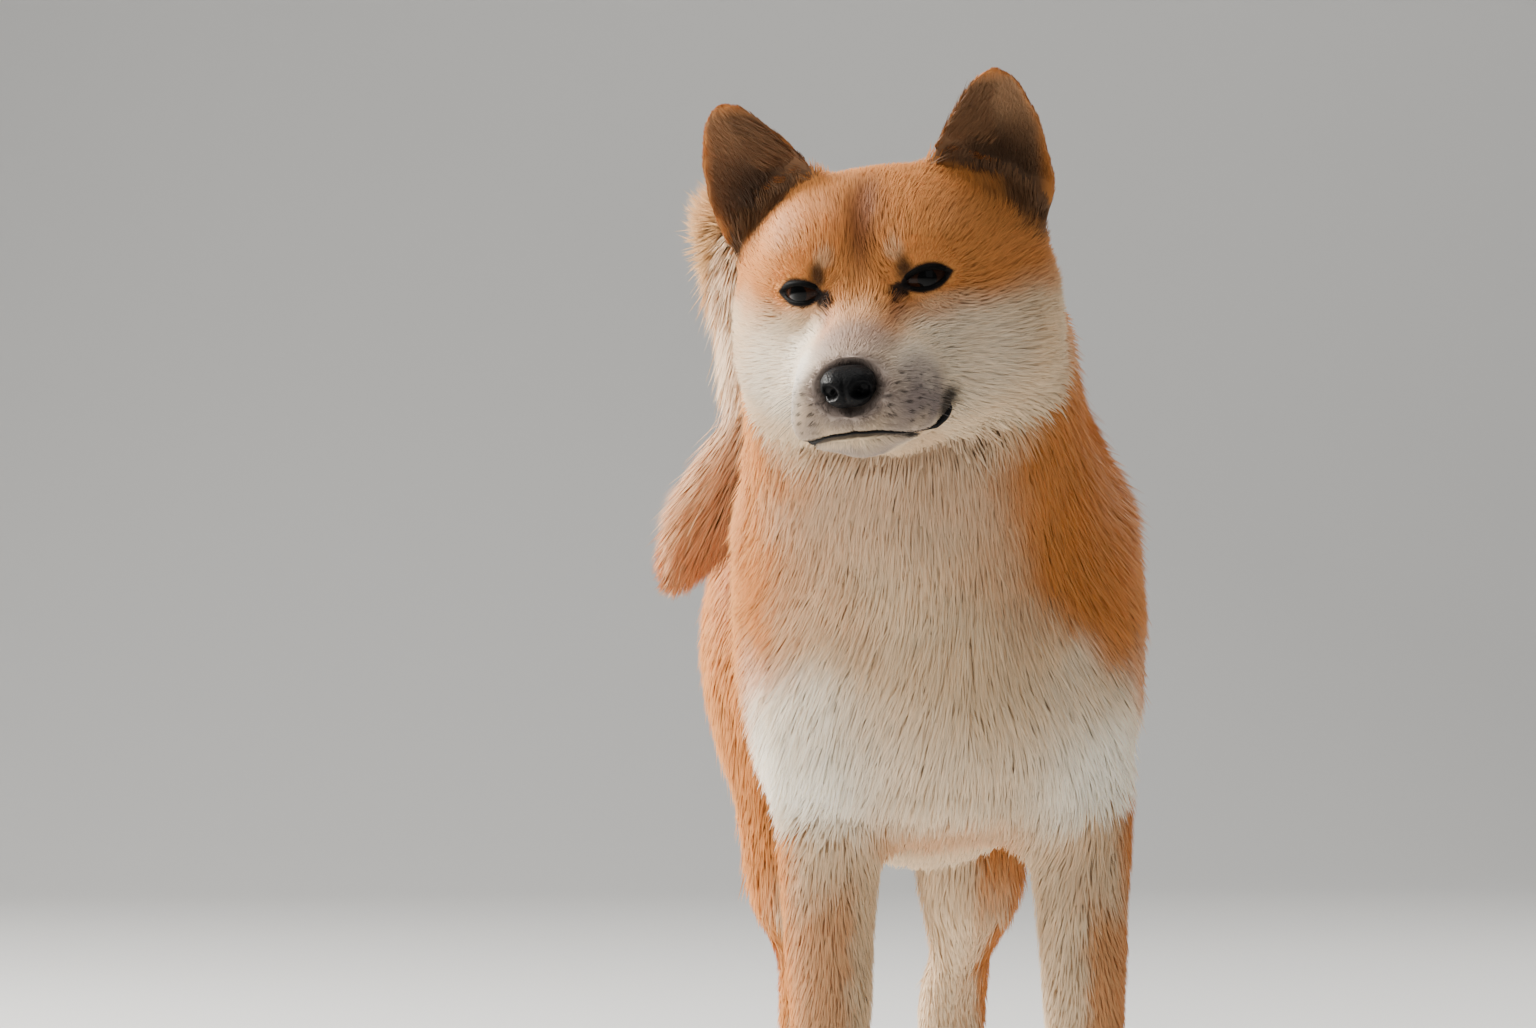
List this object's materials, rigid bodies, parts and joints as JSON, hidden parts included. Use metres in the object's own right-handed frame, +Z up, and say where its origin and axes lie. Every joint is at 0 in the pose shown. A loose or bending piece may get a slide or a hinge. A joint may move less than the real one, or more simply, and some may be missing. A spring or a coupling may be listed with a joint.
{
  "type": "shiba inu model",
  "caption": "Life-size still model of a standing shiba inu: pricked ears, head turned to its right, tail curled over the back, four feet flat on the floor.",
  "frame": {"origin": "on the floor, below the middle of the model's bounding box", "axes": "+Z up, the dog faces -Y, +X towards the dog's left side"},
  "size_m": [0.2138, 0.5964, 0.5544],
  "materials": {
    "red_coat": "short dense fur, matt",
    "cream_coat": "short dense fur, matt",
    "ear_coat": "short fur, darker and sparser inside the cup",
    "nose_leather": "damp grained leather, satin",
    "eye": "wet gloss"
  },
  "bodies": {
    "root": {"ear_left": "ear_coat", "ear_right": "ear_coat", "eye_left": "eye", "eye_right": "eye", "foreleg_left": "red_coat", "foreleg_right": "red_coat", "forepaw_left": "cream_coat", "forepaw_right": "cream_coat", "head": "red_coat", "hindleg_left": "red_coat", "hindleg_right": "red_coat", "hindpaw_left": "cream_coat", "hindpaw_right": "cream_coat", "hindshank_left": "red_coat", "hindshank_right": "red_coat", "lower_jaw": "cream_coat", "neck": "cream_coat", "nose": "nose_leather", "tail_arch": "red_coat", "tail_base": "red_coat", "tail_tip": "red_coat", "torso": "red_coat"}
  },
  "joints": []
}
